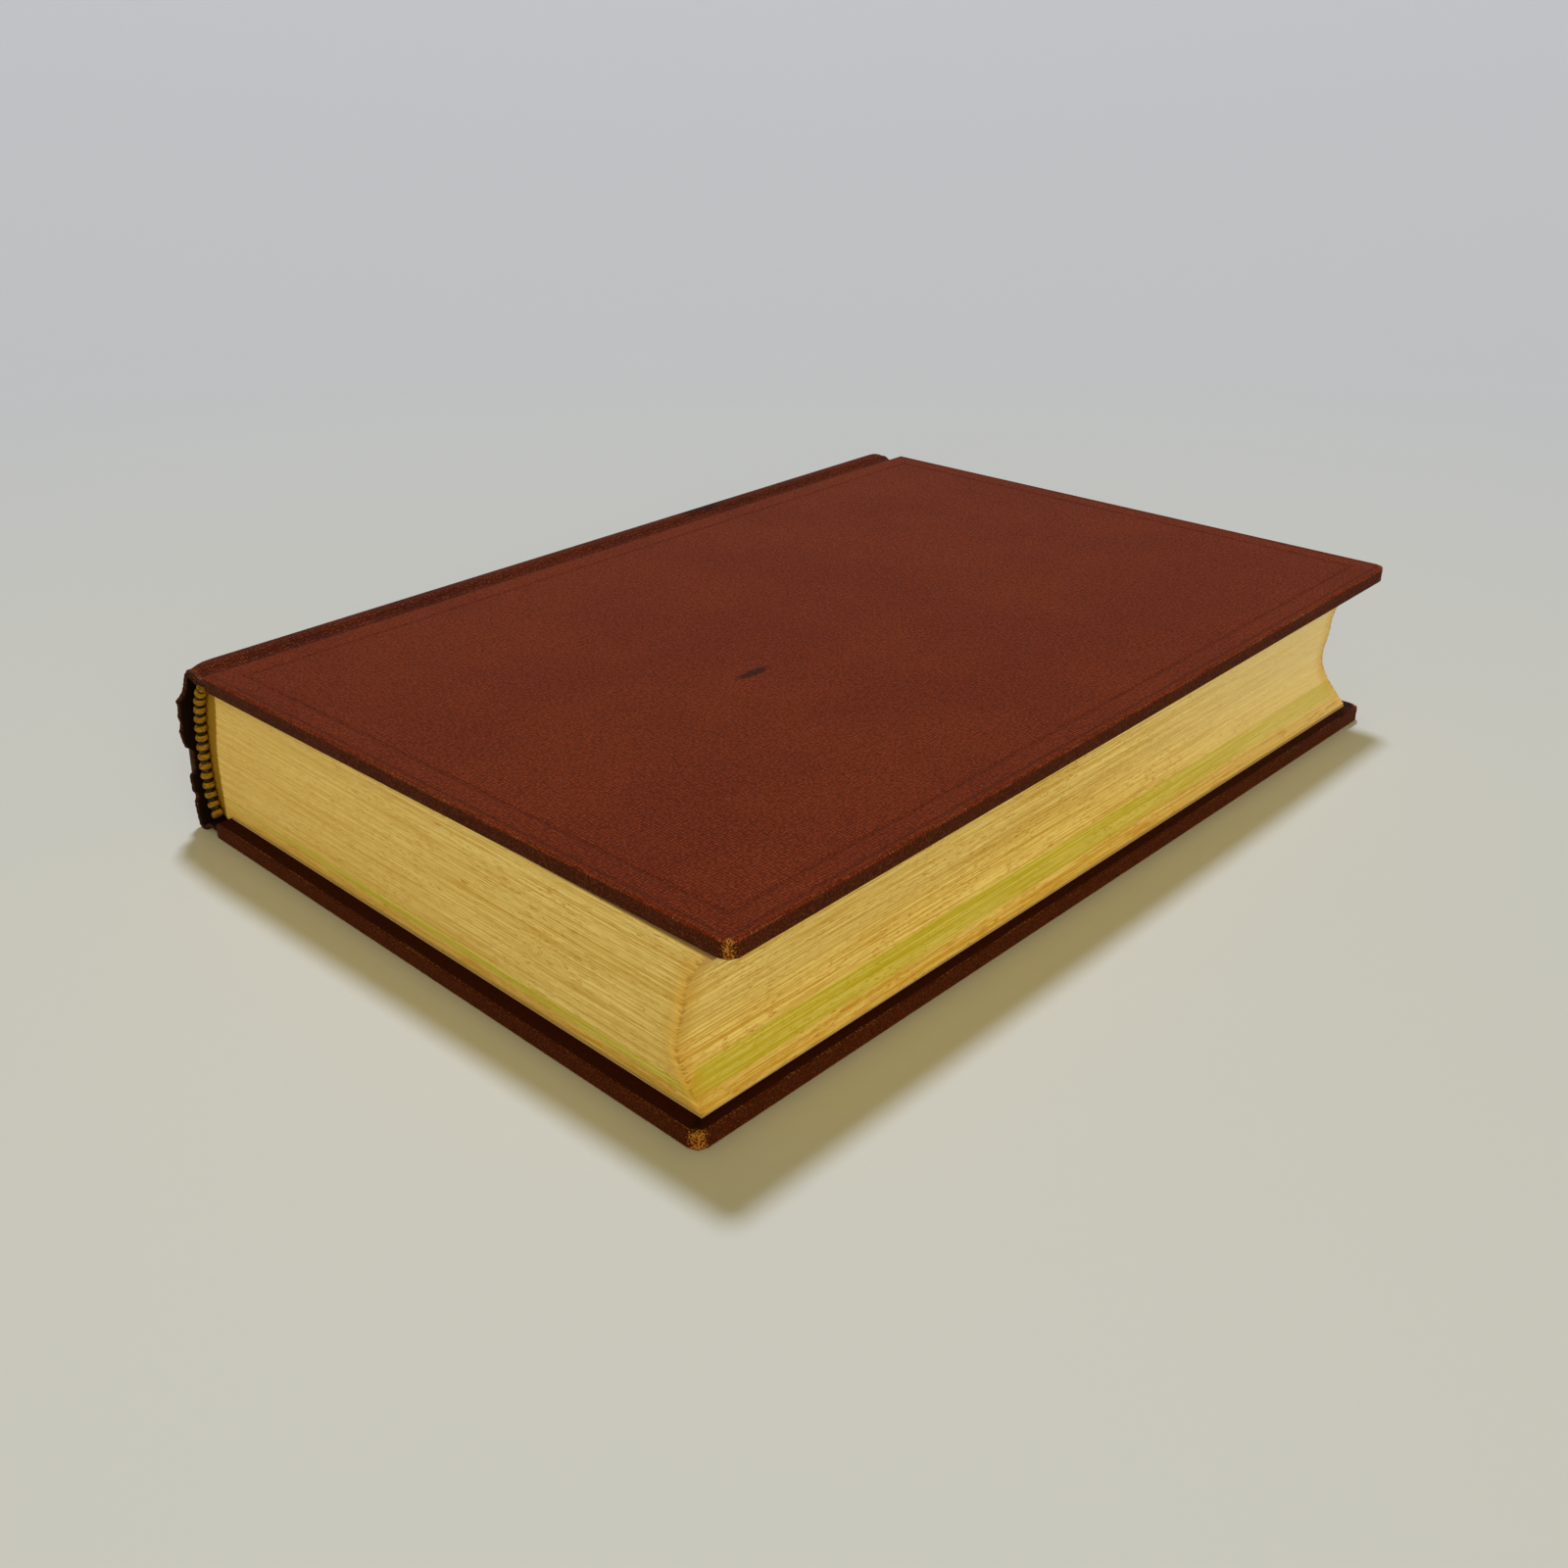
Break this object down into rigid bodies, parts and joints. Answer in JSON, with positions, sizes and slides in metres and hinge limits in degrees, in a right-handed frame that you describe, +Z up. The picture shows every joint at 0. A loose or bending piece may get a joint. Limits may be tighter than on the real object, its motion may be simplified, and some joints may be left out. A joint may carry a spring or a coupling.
{
  "type": "hardback book",
  "caption": "Closed, well-used cloth-bound hardback book with ruled covers, rounded spine, worked bands and hollow fore-edge, lying on its back cover.",
  "frame": {"origin": "middle of the back cover's underside, the face that the closed book lies on", "axes": "+Z up through the thickness; +Y from tail to head along the spine; +X from the spine to the fore-edge"},
  "size_m": [0.1418, 0.199, 0.033],
  "materials": {
    "cover_cloth": "matte",
    "grey_board": "matte",
    "inlay_card": "matte",
    "leaves": "matte",
    "endpaper": "matte",
    "lining_paper": "matte",
    "gauze": "matte",
    "worked_band": "satin"
  },
  "bodies": {
    "back_cover": {"back_board": "grey_board", "back_cover_cloth": "cover_cloth", "back_gauze_flange": "gauze", "back_pastedown": "endpaper"},
    "text_block": {"page_block": "leaves", "back_free_endpaper": "endpaper", "front_free_endpaper": "endpaper", "spine_gauze": "gauze", "spine_lining": "lining_paper", "tail_band": "worked_band", "head_band": "worked_band", "spine_cloth": "cover_cloth", "spine_inlay": "inlay_card"},
    "front_cover": {"front_board": "grey_board", "front_cover_cloth": "cover_cloth", "front_gauze_flange": "gauze", "front_pastedown": "endpaper"}
  },
  "joints": [
    {"name": "back_joint", "type": "hinge", "parent": "back_cover", "child": "text_block", "pos_m": [-0.06645, 0, -0.00035], "axis": [0, -1, 0], "range_deg": [0, 90]},
    {"name": "front_joint", "type": "hinge", "parent": "text_block", "child": "front_cover", "pos_m": [-0.06578, 0.00129, 0.03335], "axis": [0.0212, -0.9998, 0], "range_deg": [0, 180]}
  ]
}
